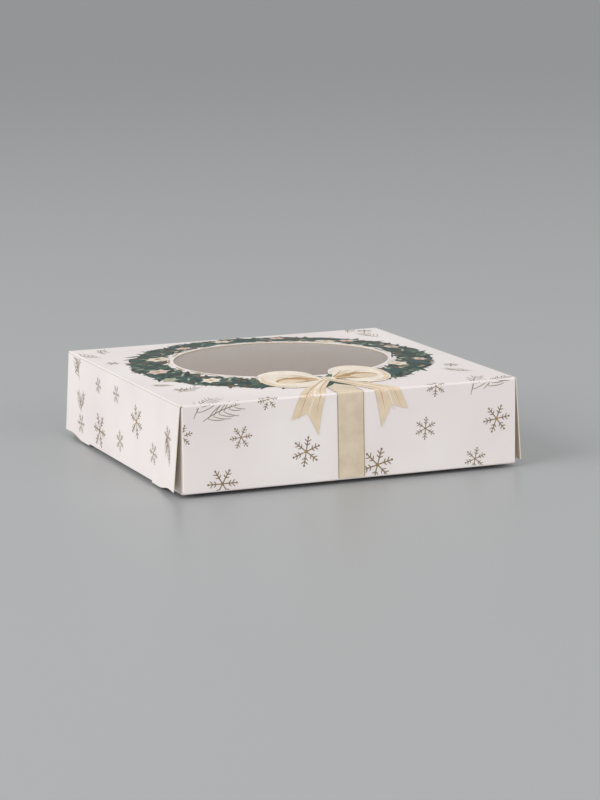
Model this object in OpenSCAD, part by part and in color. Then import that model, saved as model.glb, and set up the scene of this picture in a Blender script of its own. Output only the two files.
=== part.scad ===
// Flat square sweet box: one blank of printed folding board, creased into a closed sleeve with
// a tuck-in closure and two dust flaps at each end, and a clear film behind the figured window.
// X runs left to right, Y front to back, Z up. The origin is the middle of the patch it rests on.

/* [Box] */
// Outside width, from one closure crease to the other
box_w = 151.6; // [120:0.2:220]
// Outside depth, from the front panel to the back panel
box_d = 150; // [135:1:220]
// Outside height between the bottom and top creases
box_h = 37; // [30:0.5:70]
// Thickness of the folding board
board_t = 0.4; // [0.3:0.05:0.6]
// Outer radius of the four folds round the sleeve
fold_r = 0.8; // [0.7:0.05:1.4]

/* [Spring of the board] */
// How far the top panel bulges up in its middle
top_rise = 3.2; // [0.2:0.1:5]
// How far the bottom panel bulges down, which is the gap left under the bottom creases
bottom_sag = 1.65; // [1.3:0.05:4]
// Radius of the flat patch that the bottom panel rests on
foot_r = 22; // [10:1:40]

/* [Window] */
// Radius of the round window
window_r = 47.2; // [40:0.2:50]
// How far the window's centre lies behind the middle of the top
window_back = 5.5; // [0:0.5:8]
// Radius of each of the two lobes of board that the printed bow carries into the window
lobe_r = 12.5; // [6:0.5:16]
// Distance between the centres of the two lobes
lobe_spread = 33; // [26:1:40]
// How far the centres of the lobes lie in front of the window's centre
lobe_front = 46.5; // [40:0.5:52]
// Thickness of the clear film
film_t = 0.1; // [0.05:0.01:0.2]
// Width of film that laps under the board round the window
film_lap = 8; // [5:0.5:12]
// Thickness of a line of glue
glue_t = 0.05; // [0.03:0.01:0.1]
// Distance that the glue keeps from the window's edge
glue_set = 2; // [1:0.5:4]

/* [Closures] */
// Gap between each end of a closure and the folds of the sleeve beside it
closure_gap = 0.1; // [0.05:0.05:1]
// Angle at which the left closure stands off the box
left_flare = 2.3; // [0.5:0.1:4]
// Angle at which the right closure stands off the box
right_flare = 2; // [0.5:0.1:4]
// Further bow of the left closure's front corner
left_front_bow = 1.95; // [0:0.05:3]
// Further bow of the left closure's back corner
left_back_bow = 0.75; // [0:0.05:3]
// Further bow of the right closure's front corner
right_front_bow = 1.1; // [0:0.05:3]
// Further bow of the right closure's back corner
right_back_bow = 0.8; // [0:0.05:3]
// How far the free edge beside the tab hangs below the tab's crease
free_drop = 1.0; // [0.4:0.1:1.2]
// How far the free edge's corner rises above the tab's crease
corner_lift = 1.0; // [0:0.1:3]

/* [Tuck tabs] */
// Width of the tuck tab along its crease
tab_w = 85; // [60:1:100]
// Length of the tuck tab from its crease
tab_l = 13; // [8:0.5:13]
// Angle at which the tucked tab rises into the box
tab_rise = 16; // [16:0.5:20]
// Radius of the tuck tab's free corners
tab_corner_r = 7; // [2:0.5:8]
// Gap at each end of the tab, beside the free edges
tab_side_gap = 0.3; // [0.2:0.05:0.6]

/* [Dust flaps] */
// How far the front and back panels stop short of the closure creases
dust_inset = 0.8; // [0.6:0.05:1.2]
// Length of a dust flap from its crease
dust_l = 42; // [34:1:50]
// Angle by which the upper edge of a dust flap falls away from the top
dust_taper = 20.5; // [20:0.5:30]
// Angle by which the folded dust flap leans out against the closure
dust_lean = 1.1; // [0:0.1:1.2]
// Height of the shoulder that lifts a dust flap's free end clear of the tab
dust_shoulder = 2.9; // [2.7:0.1:5]
// Radius of a dust flap's free corners
dust_corner_r = 5; // [1:0.5:6]

/* [Seam] */
// Width of the glued flap behind the bottom panel
seam_w = 15; // [10:0.5:20]
// Angle at which the seam flap's two ends are cut
seam_taper = 20; // [5:1:30]

/* [Clearances] */
// Gap between a crease's round bead and the board that turns about it
crease_gap = 0.05; // [0.03:0.01:0.08]
// How far the bottom panel's two ends stop short of the dust flap creases
bottom_inset = 0.8; // [0.6:0.05:1.2]

/* [Hidden] */
$fn = 96;

// Each crease is a round bead of the board's own thickness, and the boards on both sides of it
// have their inner faces on its axis.
bead_r = board_t;
// How far the top panel stops short of its beads' axes
bead_lap = board_t / 4;
// Where the board that turns about a bead begins on its outer face
edge_start = 0.62 * board_t;
top_z = bottom_sag + box_h;
hinge_x = box_w / 2 - bead_r;
hinge_z = top_z - bead_r;
half_d = box_d / 2;
// Half length of the creases and panels that run front to back between the sleeve's folds
run_d = half_d - fold_r;
front_half_w = box_w / 2 - dust_inset;
dust_x = front_half_w - bead_r;
dust_y = half_d - bead_r;
bottom_half_w = front_half_w - bottom_inset;

// The bulge ends just inside the sleeve's folds.
bulge_end_gap = 0.2;
bulge_r = min(run_d, bottom_half_w) - bulge_end_gap;
bulge_steps = 15;
// Wide enough to reach past the corners of any panel
sheet_r = norm([box_w, box_d]) / 2 + fold_r;

// The tab's crease lies level with the bottom creases once the closure is shut.
tab_z = bottom_sag + bead_r;
closure_half = run_d - closure_gap;
wing_w = closure_half - tab_w / 2;
wing_steps = 8;
// The free edge keeps its drop for the first share of the wing and is level again after the last
wing_level = 0.3;
wing_top = 0.75;

arc_steps = 8;
seam_z = bottom_sag + board_t + glue_t;
// The bottom panel's glued edge stops just short of the back panel's face
seam_edge_gap = 0.3;

board_color = [0.93, 0.91, 0.90];
inside_color = [0.86, 0.84, 0.80];
film_color = [0.80, 0.84, 0.86, 0.35];
glue_color = [0.95, 0.94, 0.88, 0.6];

// Height of a sheet's bulge at distance r from its middle, with a flat patch of radius flat_r
function bulge(r, flat_r) =
  let (q = max(0, min(1, (r - flat_r) / (bulge_r - flat_r)))) pow(1 - q * q, 1.5);

function unit(v) = v / norm(v);

// Arc of radius r that rounds the corner at b between a and c
function corner_arc(a, b, c, r) =
  let (
    u = unit(a - b),
    v = unit(c - b),
    half = acos(u * v) / 2,
    m = b + unit(u + v) * r / sin(half),
    p = b + u * r / tan(half) - m,
    q = b + v * r / tan(half) - m,
    start = atan2(p.y, p.x),
    turn = (atan2(q.y, q.x) - start + 540) % 360 - 180
  )
  [for (i = [0:arc_steps]) m + r * [cos(start + turn * i / arc_steps), sin(start + turn * i / arc_steps)]];

// Closed outline through corners of the form [x, y, radius]
function outline(corners) =
  let (n = len(corners))
  [
    for (i = [0:n - 1])
      let (
        a = corners[(i + n - 1) % n],
        b = corners[i],
        c = corners[(i + 1) % n]
      )
      each b.z > 0 ? corner_arc([a.x, a.y], [b.x, b.y], [c.x, c.y], b.z) : [[b.x, b.y]]
  ];

// Round sheet with its lower face at height z, bulging by rise, and thickness t
module bulged_sheet(z, rise, flat_r, t) {
  radii = [for (i = [0:bulge_steps]) flat_r + (bulge_r - flat_r) * i / bulge_steps];
  lower = [
    if (flat_r > 0) [0, rise],
    for (r = radii) [r, rise * bulge(r, flat_r)],
    [sheet_r, 0]
  ];
  upper = [for (i = [len(lower) - 1:-1:0]) lower[i] + [0, t]];
  translate([0, 0, z]) rotate_extrude() polygon(concat(lower, upper));
}

// Upright block between two corners, as tall as anything that it has to cut
module column(x0, x1, y0, y1) {
  translate([x0, y0, -box_h]) cube([x1 - x0, y1 - y0, 3 * box_h]);
}

// Quarter of a fold round the sleeve, in the plane across it, from angle a to a + 90
module quarter_fold(a) {
  rotate(a) intersection() {
    difference() {
      circle(r = fold_r);
      circle(r = fold_r - board_t);
    }
    square(fold_r + 1);
  }
}

// Section of the front wall in depth and height, with its top fold and its bottom fold
module wall_section(low_z) {
  translate([0, low_z + fold_r]) square([board_t, top_z - low_z - 2 * fold_r]);
  translate([fold_r, top_z - fold_r]) quarter_fold(90);
  translate([fold_r, low_z + fold_r]) quarter_fold(180);
}

// Front wall of the sleeve whose lower fold starts at low_z, with the beads of its dust flaps
module sleeve_wall(low_z) {
  translate([-dust_x, -half_d, 0]) rotate([90, 0, 90])
    linear_extrude(2 * dust_x) wall_section(low_z);
  for (side = [-1, 1]) translate([side * dust_x, -dust_y, low_z + fold_r])
    cylinder(r = bead_r, h = top_z - low_z - 2 * fold_r);
}

// Outline of the window: a round opening that the two lobes of the bow reach into
module window_shape() {
  difference() {
    circle(r = window_r);
    for (side = [-1, 1]) translate([side * lobe_spread / 2, -lobe_front]) circle(r = lobe_r);
  }
}

// Square patch round the window that the film fills
module film_patch(z, t) {
  reach = window_r + film_lap;
  intersection() {
    bulged_sheet(z, top_rise, 0, t);
    translate([0, window_back, 0]) column(-reach, reach, -reach, reach);
  }
}

// Trapezium behind the bottom panel's back edge, drawn in by inset on its three free sides
module seam_zone(inset) {
  back_y = half_d - fold_r;
  reach = front_half_w - fold_r;
  narrow = seam_w * tan(seam_taper);
  translate([0, 0, -box_h]) linear_extrude(3 * box_h) polygon([
    [-reach + inset, back_y], [reach - inset, back_y],
    [reach - narrow - inset, back_y - seam_w + inset], [-reach + narrow + inset, back_y - seam_w + inset]
  ]);
}

module top_panel() {
  color(board_color) {
    difference() {
      intersection() {
        bulged_sheet(top_z - board_t, top_rise, 0, board_t);
        column(-hinge_x + bead_lap, hinge_x - bead_lap, -run_d, run_d);
      }
      translate([0, window_back, 0]) linear_extrude(2 * top_z) window_shape();
    }
    for (side = [-1, 1]) translate([side * hinge_x, run_d, hinge_z])
      rotate([90, 0, 0]) cylinder(r = bead_r, h = 2 * run_d);
  }
}

module front_panel() {
  color(board_color) sleeve_wall(bottom_sag);
}

module back_panel() {
  color(board_color) mirror([0, 1, 0]) sleeve_wall(seam_z);
}

module bottom_panel() {
  color(board_color) intersection() {
    bulged_sheet(bottom_sag, -bottom_sag, foot_r, board_t);
    column(-bottom_half_w, bottom_half_w, -run_d, half_d - seam_edge_gap);
  }
}

module seam_flap() {
  color(inside_color) intersection() {
    bulged_sheet(seam_z, -bottom_sag, foot_r, board_t);
    seam_zone(0);
  }
}

module seam_glue() {
  color(glue_color) intersection() {
    bulged_sheet(bottom_sag + board_t, -bottom_sag, foot_r, glue_t);
    seam_zone(glue_set);
  }
}

module window_film() {
  color(film_color) film_patch(top_z - board_t - glue_t - film_t, film_t);
}

module film_glue() {
  color(glue_color) difference() {
    film_patch(top_z - board_t - glue_t, glue_t);
    translate([0, window_back, 0]) cylinder(r = window_r + glue_set, h = 2 * top_z);
  }
}

// Share of the way from the dropped free edge to its lifted corner, at share s of the wing
function edge_lift(s) =
  let (q = max(0, min(1, (s - wing_level) / (wing_top - wing_level)))) q * q * (3 - 2 * q);

// One free end of a closure beyond its tab, bowed outwards by bow at the lower corner.
// It hangs from the crease at the origin, with the outside towards -X.
module closure_wing(drop, bow) {
  stations = [
    for (i = [0:wing_steps])
      let (
        s = i / wing_steps,
        low = drop + free_drop - (free_drop + corner_lift) * edge_lift(s),
        out = bow * s * s / drop
      )
      [tab_w / 2 + s * wing_w, low, out]
  ];
  points = [
    for (p = stations) each [
      [-board_t - p[2] * edge_start, p[0], -edge_start],
      [-board_t - p[2] * p[1], p[0], -p[1]],
      [-p[2] * p[1], p[0], -p[1]],
      [-p[2] * edge_start, p[0], -edge_start]
    ]
  ];
  last = 4 * wing_steps;
  sides = [
    for (i = [0:wing_steps - 1], k = [0:3])
      let (a = 4 * i + k, b = 4 * i + (k + 1) % 4)
      each [[a, b, b + 4], [a, b + 4, a + 4]]
  ];
  ends = [[0, 3, 2, 1], [last, last + 1, last + 2, last + 3]];
  polyhedron(points, concat(sides, ends));
}

// Left closure, shut at the angle flare, with the bead of its tuck tab
module closure(flare, front_bow, back_bow) {
  drop = tab_drop(flare);
  translate([-hinge_x, 0, hinge_z]) rotate([0, flare, 0]) {
    difference() {
      union() {
        translate([-board_t, -tab_w / 2, -drop]) cube([board_t, tab_w, drop - edge_start]);
        closure_wing(drop, back_bow);
        mirror([0, 1, 0]) closure_wing(drop, front_bow);
      }
      translate([0, half_d, 0]) rotate([90, 0, 0]) cylinder(r = bead_r + crease_gap, h = box_d);
    }
    translate([0, tab_w / 2, -drop]) rotate([90, 0, 0]) cylinder(r = bead_r, h = tab_w);
  }
}

// Distance from the closure's crease to the tab's crease
function tab_drop(flare) = (hinge_z - tab_z) / cos(flare);

// Left tuck tab, which points into the box and rises from its crease
module tuck_tab(flare) {
  half = tab_w / 2 - tab_side_gap;
  shape = outline([
    [edge_start, -half, 0], [tab_l, -half, tab_corner_r],
    [tab_l, half, tab_corner_r], [edge_start, half, 0]
  ]);
  translate([-hinge_x - tab_drop(flare) * sin(flare), 0, tab_z]) rotate([0, -tab_rise, 0])
    difference() {
      translate([0, 0, -board_t]) linear_extrude(board_t) polygon(shape);
      translate([0, half_d, 0]) rotate([90, 0, 0]) cylinder(r = bead_r + crease_gap, h = box_d);
    }
}

// Dust flap at the left end of the front panel, folded in behind the closure.
// low_z is the height of the wall's own bottom crease.
module dust_flap(low_z) {
  low = low_z;
  root_top = top_z - fold_r;
  shoulder_l = half_d - tab_w / 2 - bead_r - tab_side_gap;
  rise_z = bottom_sag + dust_shoulder;
  end_top = root_top - dust_l * tan(dust_taper);
  shape = outline([
    [edge_start, low, 0], [shoulder_l - dust_shoulder, low, 0], [shoulder_l, rise_z, 0],
    [dust_l, rise_z, dust_corner_r], [dust_l, end_top, dust_corner_r], [edge_start, root_top, 0]
  ]);
  translate([-dust_x, -dust_y, 0]) rotate([0, 0, dust_lean]) difference() {
    rotate([90, 0, 90]) translate([0, 0, -board_t]) linear_extrude(board_t) polygon(shape);
    cylinder(r = bead_r + crease_gap, h = 2 * top_z);
  }
}

module left_closure() {
  color(board_color) closure(left_flare, left_front_bow, left_back_bow);
}

module left_tuck_tab() {
  color(board_color) tuck_tab(left_flare);
}

module left_front_dust_flap() {
  color(board_color) dust_flap(bottom_sag);
}

module left_back_dust_flap() {
  color(board_color) mirror([0, 1, 0]) dust_flap(seam_z);
}

module right_closure() {
  color(board_color) mirror([1, 0, 0]) closure(right_flare, right_front_bow, right_back_bow);
}

module right_tuck_tab() {
  color(board_color) mirror([1, 0, 0]) tuck_tab(right_flare);
}

module right_front_dust_flap() {
  color(board_color) mirror([1, 0, 0]) dust_flap(bottom_sag);
}

module right_back_dust_flap() {
  color(board_color) mirror([1, 0, 0]) mirror([0, 1, 0]) dust_flap(seam_z);
}

top_panel();
front_panel();
bottom_panel();
back_panel();
seam_flap();
seam_glue();
window_film();
film_glue();
left_closure();
left_tuck_tab();
left_front_dust_flap();
left_back_dust_flap();
right_closure();
right_tuck_tab();
right_front_dust_flap();
right_back_dust_flap();
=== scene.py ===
"""Flat square sweet box of printed folding board, closed, on a pale studio floor.

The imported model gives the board, the film and the glue. This script gives each of them its finish
and lays the printed ribbon, bow, wreath, snowflakes and sprigs on the outside of the board.
"""

import logging
import math
import random
from dataclasses import dataclass, field
from enum import Enum
from typing import Callable

import bmesh
import bpy
from mathutils import Matrix, Vector
from mathutils.bvhtree import BVHTree


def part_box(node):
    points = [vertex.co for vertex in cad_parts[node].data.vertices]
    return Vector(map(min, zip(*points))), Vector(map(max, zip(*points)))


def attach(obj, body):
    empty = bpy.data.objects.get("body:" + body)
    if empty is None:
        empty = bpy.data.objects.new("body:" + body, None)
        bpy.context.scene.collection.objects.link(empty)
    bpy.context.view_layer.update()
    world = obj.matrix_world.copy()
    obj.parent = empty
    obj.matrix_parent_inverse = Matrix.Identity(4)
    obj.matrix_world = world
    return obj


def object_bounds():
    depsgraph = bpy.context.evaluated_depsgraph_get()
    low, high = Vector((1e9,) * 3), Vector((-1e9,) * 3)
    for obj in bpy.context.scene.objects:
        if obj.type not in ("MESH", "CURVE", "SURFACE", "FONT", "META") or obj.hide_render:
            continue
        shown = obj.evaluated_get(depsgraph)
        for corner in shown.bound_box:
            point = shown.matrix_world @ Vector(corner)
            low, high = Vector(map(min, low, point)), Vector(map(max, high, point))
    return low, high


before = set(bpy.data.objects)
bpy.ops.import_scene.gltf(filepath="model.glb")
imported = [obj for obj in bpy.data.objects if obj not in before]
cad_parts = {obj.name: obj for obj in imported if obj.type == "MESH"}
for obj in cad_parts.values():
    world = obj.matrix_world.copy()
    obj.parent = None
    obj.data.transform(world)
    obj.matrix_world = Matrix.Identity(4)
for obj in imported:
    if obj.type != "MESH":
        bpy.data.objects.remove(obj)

MM = 0.001
CAD_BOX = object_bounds()
log = logging.getLogger("sweet_box")

Point = tuple[float, float]
Range = tuple[float, float]
# Snowflake: x, y, length of an arm, turn in degrees. Sprig: x, y, direction in degrees, length.
Spot = tuple[float, float, float, float]
Colour = tuple[float, float, float, float]
Socket = bpy.types.NodeSocket
HANDS = (-1, 1)


def srgb(red: int, green: int, blue: int) -> Colour:
    """Turns a display colour of 0 to 255 into the linear colour that a shader takes.

    Args:
        red: Red channel.
        green: Green channel.
        blue: Blue channel.

    Returns:
        The linear colour with an alpha of 1.
    """

    def linear(channel: int) -> float:
        """Linear value of one display channel."""
        c = channel / 255
        return c / 12.92 if c <= 0.04045 else ((c + 0.055) / 1.055) ** 2.4

    return linear(red), linear(green), linear(blue), 1.0


def heading(angle: float) -> Vector:
    """Unit vector in a direction in radians."""
    return Vector((math.cos(angle), math.sin(angle)))


class Ink(Enum):
    """Colours that the box is printed in."""

    RIBBON = srgb(222, 206, 182)
    RIBBON_SHADE = srgb(178, 158, 127)
    BOW_LIGHT = srgb(243, 232, 216)
    BOW_MID = srgb(232, 212, 184)
    BOW_GOLD = srgb(188, 152, 104)
    GREEN_DARK = srgb(20, 46, 40)
    GREEN_DEEP = srgb(30, 70, 57)
    GREEN_BLUE = srgb(44, 76, 76)
    GREEN_SOFT = srgb(74, 108, 88)
    GREEN_PALE = srgb(172, 180, 160)
    CREAM = srgb(238, 226, 208)
    PINK = srgb(222, 198, 188)
    GOLD = srgb(176, 140, 88)
    BARK = srgb(104, 82, 62)
    FLAKE = srgb(138, 118, 94)
    SPRIG = srgb(142, 124, 104)


class Side(Enum):
    """End of the box that a closure is on, with the sign of its X."""

    LEFT = -1
    RIGHT = 1

    @property
    def closure(self) -> str:
        """Name of the closure at this end, which its body shares."""
        return f"{self.name.lower()}_closure"


# ---------- finishes ----------


class ShaderNodes:
    """One material and its node tree, with the few kinds of node that the finishes use."""

    # Nearly all of a noise's values lie between these two.
    NOISE_LOW = 0.3
    NOISE_HIGH = 0.7

    def __init__(self, name: str) -> None:
        """Makes the material and keeps its tree and shader.

        Args:
            name: Name of the material.
        """
        self.material = bpy.data.materials.new(name)
        self.material.use_nodes = True
        self.tree = self.material.node_tree
        self.shader = self.tree.nodes["Principled BSDF"]

    def add(self, kind: str, **settings: object) -> bpy.types.Node:
        """Adds a node.

        Args:
            kind: Blender's name of the node type.
            **settings: Properties to set on the node.

        Returns:
            The new node.
        """
        node = self.tree.nodes.new(kind)
        for key, value in settings.items():
            setattr(node, key, value)
        return node

    def join(self, source: Socket, target: Socket) -> None:
        """Links two sockets."""
        self.tree.links.new(source, target)

    def drive(self, name: str, source: Socket) -> None:
        """Links a socket to the shader's socket of that name."""
        self.join(source, self.shader.inputs[name])

    def keep(self, name: str, value: float | Colour) -> None:
        """Sets the shader's socket of that name to one value."""
        self.shader.inputs[name].default_value = value

    def noise(self, scale: float, detail: float = 3.0) -> Socket:
        """Noise on Object coordinates.

        Args:
            scale: Number of waves in a metre.
            detail: Number of finer waves laid over them.

        Returns:
            The socket of the noise's value.
        """
        where = self.add("ShaderNodeTexCoord")
        noise = self.add("ShaderNodeTexNoise")
        noise.inputs["Scale"].default_value = scale
        noise.inputs["Detail"].default_value = detail
        self.join(where.outputs["Object"], noise.inputs["Vector"])
        return noise.outputs["Fac"]

    def ramp(
        self, value: Socket, start: float, end: float, low: float = 0.0, high: float = 1.0
    ) -> Socket:
        """Maps the range from start to end to the range from low to high.

        Args:
            value: Socket of the value.
            start: Value that gives low.
            end: Value that gives high.
            low: Result at the start.
            high: Result at the end.

        Returns:
            The socket of the result.
        """
        span = self.add("ShaderNodeMapRange")
        span.inputs["From Min"].default_value = start
        span.inputs["From Max"].default_value = end
        span.inputs["To Min"].default_value = low
        span.inputs["To Max"].default_value = high
        self.join(value, span.inputs["Value"])
        return span.outputs["Result"]

    def spread(self, noise: Socket, low: float = 0.0, high: float = 1.0) -> Socket:
        """Spreads a noise over the range between low and high."""
        return self.ramp(noise, self.NOISE_LOW, self.NOISE_HIGH, low, high)

    def blend(
        self,
        amount: Socket,
        first: Colour | Socket,
        second: Colour | Socket,
        mode: str = "MIX",
    ) -> Socket:
        """Mixes two colours.

        Args:
            amount: Socket that goes from the first colour at 0 to the second at 1.
            first: Colour or socket at 0.
            second: Colour or socket at 1.
            mode: Blender's blend mode.

        Returns:
            The socket of the mixed colour.
        """
        mix = self.add("ShaderNodeMix", data_type="RGBA", blend_type=mode)
        self.join(amount, mix.inputs["Factor"])
        for key, colour in (("A", first), ("B", second)):
            socket = [s for s in mix.inputs if s.name == key and s.type == "RGBA"][0]
            if isinstance(colour, Socket):
                self.join(colour, socket)
            else:
                socket.default_value = colour
        return [s for s in mix.outputs if s.type == "RGBA"][0]

    def emboss(self, height: Socket, depth: float, strength: float) -> None:
        """Gives the surface a fine relief.

        Args:
            height: Socket of the relief's height.
            depth: Depth of the relief in metres.
            strength: Share of the relief that shows.
        """
        bump = self.add("ShaderNodeBump")
        bump.inputs["Distance"].default_value = depth
        bump.inputs["Strength"].default_value = strength
        self.join(height, bump.inputs["Height"])
        self.drive("Normal", bump.outputs["Normal"])


@dataclass(frozen=True)
class BoardFinish:
    """Folding board: coated and tinted outside, plain and creamy inside, cream at a cut edge."""

    outside: Colour = srgb(239, 232, 229)
    outside_tint: Colour = srgb(230, 221, 219)
    inside: Colour = srgb(224, 212, 194)
    inside_fleck: Colour = srgb(208, 194, 172)
    edge: Colour = srgb(232, 222, 204)
    roughness: Range = (0.38, 0.47)
    # A face is a cut edge up to the first of these, and inside or outside past the second.
    edge_until: float = 0.12
    face_from: float = 0.16
    cloud_scale: float = 22
    gloss_scale: float = 300
    fibre_scale: float = 1500
    fibre_detail: float = 4
    fibre_depth: float = 0.00004
    fibre_strength: float = 0.35

    def material(self, name: str, inner_point: Vector) -> bpy.types.Material:
        """Makes the board of one panel.

        Args:
            name: Name of the material.
            inner_point: Point, in metres, that the panel's plain face looks towards.

        Returns:
            The material.
        """
        nodes = ShaderNodes(name)
        facing = self._facing(nodes, inner_point)
        outer = nodes.ramp(facing, self.edge_until, self.face_from)
        inner = nodes.ramp(facing, -self.edge_until, -self.face_from)
        cloud = nodes.spread(nodes.noise(self.cloud_scale, 2))
        printed = nodes.blend(cloud, self.outside, self.outside_tint)
        fibre = nodes.noise(self.fibre_scale, self.fibre_detail)
        plain = nodes.blend(nodes.spread(fibre), self.inside, self.inside_fleck)
        colour = nodes.blend(inner, self.edge, plain)
        nodes.drive("Base Color", nodes.blend(outer, colour, printed))
        nodes.drive("Roughness", nodes.spread(nodes.noise(self.gloss_scale), *self.roughness))
        nodes.emboss(fibre, self.fibre_depth, self.fibre_strength)
        return nodes.material

    @staticmethod
    def _facing(nodes: ShaderNodes, inner_point: Vector) -> Socket:
        """How far the surface faces away from the panel's inner point.

        Args:
            nodes: Material that this is for.
            inner_point: Point, in metres, that the panel's plain face looks towards.

        Returns:
            The socket of a value from -1, on the plain face, to 1, on the printed face.
        """
        where = nodes.add("ShaderNodeTexCoord")
        away = nodes.add("ShaderNodeVectorMath", operation="SUBTRACT")
        nodes.join(where.outputs["Object"], away.inputs[0])
        away.inputs[1].default_value = inner_point
        along = nodes.add("ShaderNodeVectorMath", operation="NORMALIZE")
        nodes.join(away.outputs["Vector"], along.inputs[0])
        facing = nodes.add("ShaderNodeVectorMath", operation="DOT_PRODUCT")
        nodes.join(along.outputs["Vector"], facing.inputs[0])
        nodes.join(where.outputs["Normal"], facing.inputs[1])
        return facing.outputs["Value"]


@dataclass(frozen=True)
class FilmFinish:
    """Clear film, faintly hazy, whose tinted layer hides more of what is behind it at a low angle:
    partly real haze, partly painted reflection of grazing light.
    """

    # Colour of the film's layer: partly its haze, partly painted reflection that a clear film shows
    # at a low angle.
    haze_and_reflection_tint: Colour = srgb(216, 203, 193)
    roughness: Range = (0.17, 0.24)
    # Share of the view that the tinted layer hides, facing and grazing; the rise at a low angle is
    # painted reflection.
    reflection_cover_facing: float = 0.1
    reflection_cover_grazing: float = 0.85
    haze_scale: float = 60
    ripple_scale: float = 30
    ripple_depth: float = 0.0002
    ripple_strength: float = 0.1

    def material(self) -> bpy.types.Material:
        """Makes the film.

        Returns:
            The material.
        """
        nodes = ShaderNodes("clear_film")
        nodes.keep("Base Color", self.haze_and_reflection_tint)
        angle = nodes.add("ShaderNodeLayerWeight")
        # Painted reflection: the tinted layer covers more of the view as the angle grows grazing.
        haze_and_reflection = nodes.ramp(angle.outputs["Fresnel"], 0, 1, self.reflection_cover_facing, self.reflection_cover_grazing)
        nodes.drive("Alpha", haze_and_reflection)
        nodes.drive("Roughness", nodes.spread(nodes.noise(self.haze_scale, 2), *self.roughness))
        ripple = nodes.noise(self.ripple_scale, 1)
        nodes.emboss(ripple, self.ripple_depth, self.ripple_strength)
        return nodes.material


@dataclass(frozen=True)
class GlueFinish:
    """Dried line of white glue."""

    colour: Colour = srgb(226, 222, 208)
    thin: Colour = srgb(206, 198, 180)
    roughness: float = 0.3
    patch_scale: float = 400
    grain_scale: float = 700
    grain_depth: float = 0.00003
    grain_strength: float = 0.5

    def material(self) -> bpy.types.Material:
        """Makes the glue.

        Returns:
            The material.
        """
        nodes = ShaderNodes("dried_glue")
        amount = nodes.spread(nodes.noise(self.patch_scale))
        nodes.drive("Base Color", nodes.blend(amount, self.colour, self.thin))
        nodes.keep("Roughness", self.roughness)
        nodes.emboss(nodes.noise(self.grain_scale), self.grain_depth, self.grain_strength)
        return nodes.material


@dataclass(frozen=True)
class InkFinish:
    """Printed ink with the uneven wash of watercolour."""

    roughness: float = 0.5
    specular: float = 0.12
    pale: Colour = srgb(236, 229, 222)
    pale_share: float = 0.06
    pale_scale: float = 450
    pool: Colour = srgb(196, 190, 184)
    pool_share: float = 0.35
    pool_scale: float = 160
    detail: float = 4

    def material(self) -> bpy.types.Material:
        """Makes the ink, which takes its colour from the attribute ink.

        Returns:
            The material.
        """
        nodes = ShaderNodes("printed_ink")
        ink = nodes.add("ShaderNodeAttribute", attribute_name="ink")
        pale = nodes.spread(nodes.noise(self.pale_scale, self.detail), 0, self.pale_share)
        washed = nodes.blend(pale, ink.outputs["Color"], self.pale)
        pool = nodes.spread(nodes.noise(self.pool_scale, self.detail), 0, self.pool_share)
        nodes.drive("Base Color", nodes.blend(pool, washed, self.pool, "MULTIPLY"))
        nodes.keep("Roughness", self.roughness)
        nodes.keep("Specular IOR Level", self.specular)
        return nodes.material


@dataclass(frozen=True)
class FloorFinish:
    """Smooth grey studio floor with painted light: lighter round the box and darker with distance,
    as lamplight falls off.
    """

    # Painted light: the floor is lighter near the box and darker far off, a pool of lamplight
    # painted into its colour.
    lit_near_box: Colour = srgb(164, 166, 167)
    far: Colour = srgb(138, 140, 142)
    reach: float = 2.6
    roughness: float = 0.38

    def material(self) -> bpy.types.Material:
        """Makes the floor.

        Returns:
            The material.
        """
        nodes = ShaderNodes("studio_floor")
        where = nodes.add("ShaderNodeTexCoord")
        length = nodes.add("ShaderNodeVectorMath", operation="LENGTH")
        nodes.join(where.outputs["Object"], length.inputs[0])
        # Painted falloff of light with distance from the box.
        away = nodes.add("ShaderNodeMapRange", interpolation_type="SMOOTHSTEP")
        away.inputs["From Max"].default_value = self.reach
        nodes.join(length.outputs["Value"], away.inputs["Value"])
        nodes.drive("Base Color", nodes.blend(away.outputs["Result"], self.lit_near_box, self.far))
        nodes.keep("Roughness", self.roughness)
        return nodes.material


# ---------- the box ----------


def dress(node_name: str, material: bpy.types.Material) -> None:
    """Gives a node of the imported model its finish.

    Args:
        node_name: Name of the node.
        material: Its finish.
    """
    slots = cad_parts[node_name].data.materials
    slots.clear()
    slots.append(material)
    log.info("dressed %s", node_name)


@dataclass
class Board:
    """The panels, closures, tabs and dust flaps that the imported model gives."""

    finish: BoardFinish = field(default_factory=BoardFinish)
    # Distance, in metres, of a point that stands for a direction
    far: float = 10.0

    def inner_points(self) -> dict[str, Vector]:
        """For each panel, a point that its plain face looks towards.

        Returns:
            The points by node name, in metres.
        """
        low, high = CAD_BOX
        middle = Vector((0, 0, (low.z + high.z) / 2))
        above = Vector((0, 0, self.far))
        points = {
            "top_panel": -above,
            "bottom_panel": above,
            "seam_flap": above,
            "front_panel": middle,
            "back_panel": middle,
        }
        for side in Side:
            end = side.name.lower()
            inward = Vector((-side.value * self.far, 0, 0))
            points[side.closure] = inward
            points[f"{end}_tuck_tab"] = above
            points[f"{end}_front_dust_flap"] = inward
            points[f"{end}_back_dust_flap"] = inward
        return points

    def build(self) -> None:
        """Gives every board node its finish."""
        for name, point in self.inner_points().items():
            dress(name, self.finish.material(f"board_{name}", point))


@dataclass
class WindowFilm:
    """The clear film behind the window and the two glue lines."""

    film: FilmFinish = field(default_factory=FilmFinish)
    glue: GlueFinish = field(default_factory=GlueFinish)

    def build(self) -> None:
        """Gives the film and the glue their finishes."""
        glue = self.glue.material()
        dress("window_film", self.film.material())
        dress("film_glue", glue)
        dress("seam_glue", glue)


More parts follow.
